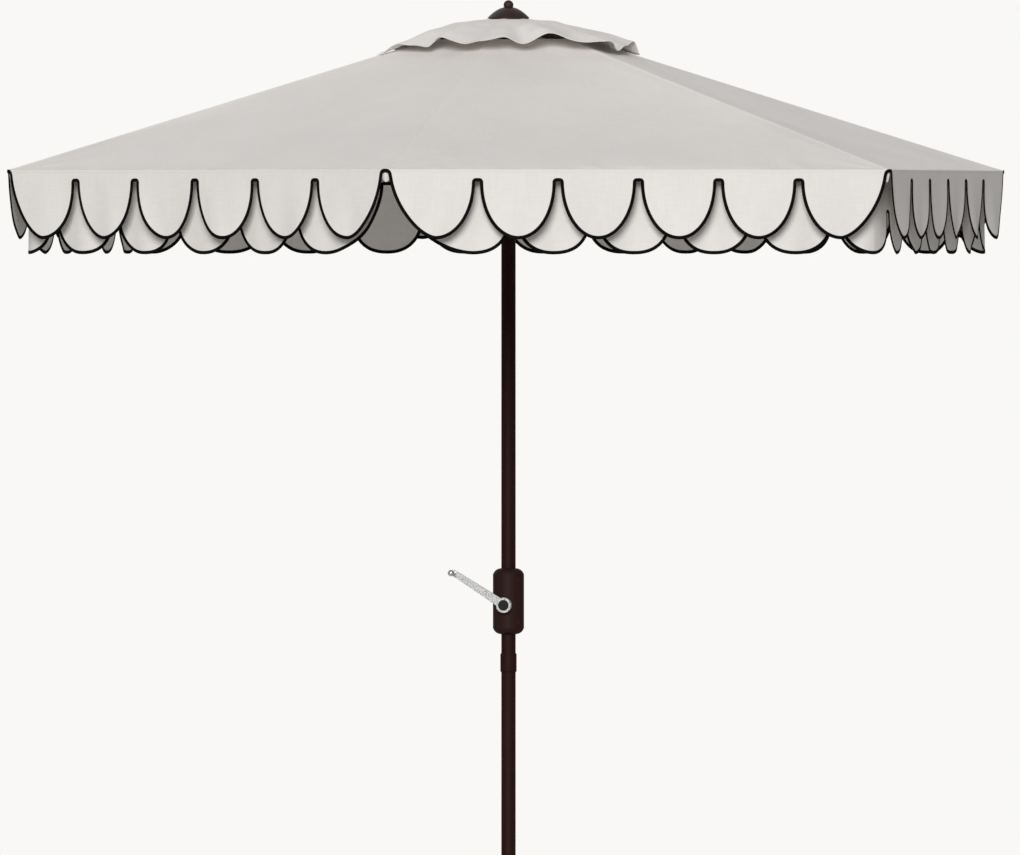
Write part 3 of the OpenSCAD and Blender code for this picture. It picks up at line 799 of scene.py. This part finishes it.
def valance_point(i, side, inset, bulge):
    """Maps x along the side from rib i's corner and depth d to the row's frame, with the wave's normal."""
    flip = 1 if side == "right" else -1
    along = np.array(to_row((-0.5, COS30, 0), i, side))
    inward = np.array(to_row((-COS30, -0.5, 0), i, side))
    start = np.array(corner(i)) + inward * inset
    radial = np.array([math.cos(azimuth(i)), math.sin(azimuth(i)), 0])

    def at(x, d):
        s = x if flip > 0 else CANOPY_R - x
        b = bulge(s, d)
        bend = np.clip(1 - (x - INNER_CORNER) / ROUND_R, 0, 1) ** 2 * (ROUND_R / 4 if inset > BIND_T else 0)
        return (start + x[..., None] * along - b[..., None] * inward - bend[..., None] * radial
                + d[..., None] * np.array([0, 0, -1.0]))

    def normal(x, d):
        e = 5e-4
        dx = (at(x + e, d) - at(x - e, d)) / (2 * e)
        dd = (at(x, d + e) - at(x, d - e)) / (2 * e)
        n = np.cross(dx, dd)
        n /= np.linalg.norm(n, axis=-1, keepdims=True)
        return np.where((n @ inward)[..., None] > 0, -n, n)

    return at, normal


def edge_tape(name, line, at, normal, body):
    """Binding folded over a cut edge: a tape swept along it, widest in the cloth's plane."""
    x, d = line[:, 0], line[:, 1]
    centre, out = at(x, d), normal(x, d)
    centre = centre - out * CLOTH_T / 2
    tangent = np.gradient(centre, axis=0)
    tangent /= np.linalg.norm(tangent, axis=1, keepdims=True)
    across = np.cross(out, tangent)
    across /= np.linalg.norm(across, axis=1, keepdims=True)
    return sweep(name, centre, across, out, BIND_HALF, BIND_T / 2, tape, body, 0.5)


def even(line, step=0.004):
    """The same line with points at even distances."""
    run = np.concatenate([[0], np.cumsum(np.hypot(*np.diff(line, axis=0).T))])
    t = np.linspace(0, run[-1], max(8, int(run[-1] / step)))
    return np.stack([np.interp(t, run, line[:, 0]), np.interp(t, run, line[:, 1])], -1)


VALANCE_ROWS = 18


def valance_layer(name, line, edge, top_of, i, side, inset, bulge):
    """One layer of a valance half, from top_of(x) down to line, with its binding along edge."""
    body = f"valance_{side}_{i}"
    at, normal = valance_point(i, side, inset, bulge)
    x = line[:, 0]
    top = top_of(x)
    depth = np.maximum(line[:, 1], top + 0.001)
    share = np.linspace(0, 1, VALANCE_ROWS)[:, None]
    d = top[None] * (1 - share) + depth[None] * share
    xx = np.broadcast_to(x[None], d.shape)
    s = xx if side == "right" else CANOPY_R - xx
    maps = {"cloth": np.stack([s, d], -1), "hem": np.stack([s, d - top[None]], -1)}
    obj = shell(name, at(xx, d), normal(xx, d), CLOTH_T, maps, valance_cloth, body)
    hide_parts(body)
    bound = edge_tape(name + "_binding", edge, at, normal, body)
    for piece in (obj, bound):
        to_row(HANG_AXIS, i, side)
        corner(i)
        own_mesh(piece)


def make_valance():
    line = outer_line()
    middle = np.array([[SIDE_HALF, OUTER_BAND]])
    cloth_line = dense(np.concatenate([line[line[:, 0] < SIDE_HALF], middle]))
    # the binding's arch over the corner: shares of the slot's half width, and depths
    arch = np.array([[0.0, 0.0022], [0.27, 0.0023], [0.52, 0.0030], [0.75, 0.0055], [0.91, 0.0100],
                     [1.0, 0.0165]]) * (CORNER_SLOT, 1)
    after = line[(line[:, 1] > 0.024) | (line[:, 0] > C1)]
    outer_edge = even(np.concatenate([arch, after[after[:, 0] < SIDE_HALF], middle]))
    for g in range(1, RIBS + 1):
        outer_bulge, inner_bulge = hang(g, 0), hang(g, 1)
        for side, rib, _ in sides(g):
            valance_layer(f"valance_outer_{side}_{rib}", cloth_line, outer_edge,
                          lambda x: np.full_like(x, -0.0004), rib, side, -0.0006, outer_bulge)
            inner = inner_line(rib == 1)
            if rib == 1:
                level = np.array([[INNER_CORNER, OPEN_TOP], [LEVEL_END, OPEN_TOP]])
                inner = np.concatenate([level, inner[inner[:, 0] > LEVEL_END]])
            valance_layer(f"valance_inner_{side}_{rib}", dense(inner), even(inner),
                          lambda x: np.where(x < POCKET_SIDE, UNDER_POCKET, ABOVE_HEM), rib, side,
                          LAYER_GAP, inner_bulge)


# ---- small cloth pieces ----


PATCH_R = 0.064
PATCH_HOLE_R = 0.030
PATCH_FLAT_R = 0.045         # the patch is flat on the hub up to here, and slopes beyond
PATCH_T = 0.0009


def make_crown_patch():
    """A round patch that caps the cloth's points, clamped between the hub and the finial."""
    turns, rings = 96, 14
    r = np.linspace(PATCH_HOLE_R, PATCH_R, rings)[:, None]
    a = (np.arange(turns + 1) * 2 * math.pi / turns)[None]
    drop = np.clip(r - PATCH_FLAT_R, 0, None)
    z = HUB_TOP_Z + 0.0013 - drop * VENT_FALL * 0.98 - 0.0004 * smooth(drop / 0.01) * np.cos(12 * a)
    z = z + 0.0006 * (1 - smooth((PATCH_R - r - 0.005) / 0.0012)) * smooth(drop / 0.004)
    top = np.stack(np.broadcast_arrays(r * np.cos(a), r * np.sin(a), z), -1)
    normal = np.zeros_like(top)
    normal[..., 2] = 1.0
    maps = {"cloth": top[..., :2], "hem": np.stack(np.broadcast_arrays(r * a, PATCH_R - r), -1),
            "seam": np.stack(np.broadcast_arrays(r * a, r * 0 + 1), -1)}
    obj = shell("crown_patch", top, normal, PATCH_T, maps, vent_cloth, "mast")


POCKET_HALF = 0.015
POCKET_BACK = 0.060          # how far a pocket reaches back along its rib
POCKET_DEEP = 0.0235         # from the canopy's top face down past the rib's underside
POCKET_DROP = 0.034          # at its front
POCKET_T = 0.0008
POCKET_INSET = 0.0045        # from the corner in to the pocket's front
POCKET_END = 0.006           # length of its closed end


def make_pocket(i):
    """The cloth pocket sewn under a canopy corner, round the rib's tip."""
    front = CANOPY_R - POCKET_INSET
    turn = np.linspace(-1, 1, 25)[None]
    share = np.linspace(0, 1, 14)[:, None]
    bow = np.sqrt(np.clip(1 - (turn * 0.97) ** 2, 0, 1))
    back = POCKET_BACK * np.linspace(1, 0, 26)[:, None]
    low = POCKET_DEEP + (POCKET_DROP - POCKET_DEEP) * smooth(1 - back / 0.03)
    sling_x = front - POCKET_END - back + 0 * turn
    sling_z = -0.004 - (low - 0.004) * bow + FALL * (back + POCKET_END)
    # the end closes up in front of the tip, under the corner
    end_x = front - POCKET_END + POCKET_END * np.sin(share * math.pi / 2) + 0 * turn
    end_z = (-0.004 - (POCKET_DROP - 0.004) * bow + FALL * POCKET_END) * (1 - share) - 0.0015 * share
    xs = np.concatenate([sling_x, end_x[1:]])
    zs = np.concatenate([sling_z, end_z[1:]])
    ys = np.broadcast_to(POCKET_HALF * turn, xs.shape)
    # its front keeps clear of the two sides of the valance, which meet at the corner
    xs = xs - (np.hypot(ys, 0.002) - 0.002) * math.tan(math.pi / 6) * smooth((xs - front + 0.03) / 0.024)
    a = azimuth(i)
    top = np.stack([xs * math.cos(a) - ys * math.sin(a), xs * math.sin(a) + ys * math.cos(a),
                    HEM_Z + zs], -1)
    normal = np.cross(np.gradient(top, axis=1), np.gradient(top, axis=0))
    normal /= np.linalg.norm(normal, axis=-1, keepdims=True)
    middle = top[:, 12]
    run = np.concatenate([[0], np.cumsum(np.linalg.norm(np.diff(middle, axis=0), axis=-1))])[:, None]
    maps = {"cloth": np.stack(np.broadcast_arrays(ys, run), -1),
            "hem": np.stack(np.broadcast_arrays(run, POCKET_HALF - np.abs(ys)), -1)}
    body = f"rib_{i}"
    obj = shell(f"corner_pocket_{i}", top, normal, POCKET_T, maps, valance_cloth, body)


# ---- lift rope ----

ROPE_X, ROPE_Y, ROPE_R = 0.0125, 0.0042, 0.0015
SPOOL_Z, PULLEY_Z = 0.855, 2.328
ROPE_END = 0.043             # the knot hangs this far below the pulley's axle
KNOT_R = 0.0032


def make_rope():
    """The lift rope inside the pole: up from the spool, over the pulley and down to its knot."""
    up = [(ROPE_X, ROPE_Y, z) for z in np.linspace(SPOOL_Z, PULLEY_Z, 20)[:-1]]
    over = [(ROPE_X * math.cos(t), ROPE_Y, PULLEY_Z + ROPE_X * math.sin(t))
            for t in np.linspace(0, math.pi, 15)]
    down = [(-ROPE_X, ROPE_Y, z) for z in np.linspace(PULLEY_Z, PULLEY_Z - ROPE_END, 5)[1:]]
    centre = np.array(up + over + down)
    out = np.broadcast_to(np.array([0.0, 1.0, 0.0]), centre.shape)
    tangent = np.gradient(centre, axis=0)
    across = np.cross(out, tangent)
    across /= np.linalg.norm(across, axis=1, keepdims=True)
    cord = sweep("lift_rope", centre, across, out, ROPE_R, ROPE_R, CAD_LOOKS["rope"], "mast", 1.0)
    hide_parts("lift_cord")
    bpy.ops.mesh.primitive_uv_sphere_add(segments=24, ring_count=16, radius=KNOT_R,
                                         location=tuple(centre[-1]))
    knot = bpy.context.object
    knot.name = "lift_rope_knot"
    knot.data.uv_layers[0].name = "cloth"
    for uv in knot.data.uv_layers[0].data:
        uv.uv = (uv.uv[0] * 0.02, uv.uv[1] * 0.01)
    knot.data.polygons.foreach_set("use_smooth", [True] * len(knot.data.polygons))
    knot.data.materials.append(CAD_LOOKS["rope"])
    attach(knot, "mast")


# ---- stage and light ----

BACKGROUND = (0.947, 0.939, 0.922)
AMBIENT = 0.265
KEY = dict(heading=7.5, elevation=20, strength=2.42, angle=24)
FILL = dict(heading=205, elevation=34, strength=0.55, angle=60)
FLOOR_R = 5.0
FADE_FROM, FADE_TO = 1.6, 4.2    # the floor fades out between these distances from the pole
FLOOR_ALPHA = 0.5


def make_stage():
    """A round pale floor, half see-through, that fades into the background."""
    turns, rings = 96, 24
    r = np.linspace(0.0, FLOOR_R, rings)[1:, None]
    a = (np.arange(turns) * 2 * math.pi / turns)[None]
    ring = np.stack(np.broadcast_arrays(r * np.cos(a), r * np.sin(a), r * 0 - 0.0005), -1)
    at = np.arange((rings - 1) * turns).reshape(rings - 1, turns)
    nxt = np.roll(at, -1, axis=1)
    quads = np.stack([at[:-1], at[1:], nxt[1:], nxt[:-1]], -1).reshape(-1, 4).tolist()
    quads.append(at[0].tolist())
    mesh = bpy.data.meshes.new("floor")
    mesh.from_pydata(ring.reshape(-1, 3).tolist(), [], quads)
    floor = bpy.data.objects.new("floor", mesh)
    bpy.context.scene.collection.objects.link(floor)
    k = Nodes("floor")
    far = k.new("VectorMath", operation="LENGTH")
    k.link(k.place(), far.inputs[0])
    k.put(Base_Color=(0.93, 0.925, 0.915), Roughness=0.9, Specular_IOR_Level=0.1,
          Alpha=k.ramp(far.outputs["Value"], FADE_FROM, FADE_TO, FLOOR_ALPHA, 0.0))
    mesh.materials.append(k.mat)


def sun(name, heading, elevation, strength, angle):
    """A soft sun. Its heading turns anticlockwise from -Y, seen from above."""
    data = bpy.data.lights.new(name, "SUN")
    data.energy = strength
    data.angle = math.radians(angle)
    obj = bpy.data.objects.new(name, data)
    bpy.context.scene.collection.objects.link(obj)
    a, e = math.radians(heading), math.radians(elevation)
    towards = Vector((math.sin(a) * math.cos(e), -math.cos(a) * math.cos(e), math.sin(e)))
    obj.rotation_mode = "QUATERNION"
    obj.rotation_quaternion = towards.to_track_quat("Z", "Y")


def make_light():
    """A plain pale background that the camera sees, dim light from all round, and two soft suns."""
    scene = bpy.context.scene
    world = bpy.data.worlds.new("studio")
    world.use_nodes = True
    tree = world.node_tree
    light = tree.nodes["Background"]
    light.inputs["Color"].default_value = (1.0, 0.99, 0.975, 1)
    light.inputs["Strength"].default_value = AMBIENT
    seen = tree.nodes.new("ShaderNodeBackground")
    seen.inputs["Color"].default_value = (*BACKGROUND, 1)
    path = tree.nodes.new("ShaderNodeLightPath")
    mix = tree.nodes.new("ShaderNodeMixShader")
    tree.links.new(path.outputs["Is Camera Ray"], mix.inputs["Fac"])
    tree.links.new(light.outputs[0], mix.inputs[1])
    tree.links.new(seen.outputs[0], mix.inputs[2])
    tree.links.new(mix.outputs[0], tree.nodes["World Output"].inputs["Surface"])
    scene.world = world
    scene.view_settings.view_transform = "Standard"
    sun("key_light", **KEY)
    sun("fill_light", **FILL)


# ---- CAD nodes that keep their shape ----


def dress_frame():
    """Gives each CAD node the look of its material slot."""
    for part in frame["record"]["subparts"]:
        look = CAD_LOOKS.get(part["material_slot"])
        if look:
            obj = frame["nodes"][part["node"]]
            obj.data.materials.clear()
            obj.data.materials.append(look)


make_camera()
make_rope()
make_stage()
make_light()
dress_frame()
make_canopy()
make_vent()
make_valance()
make_crown_patch()
for rib in range(1, RIBS + 1):
    make_pocket(rib)
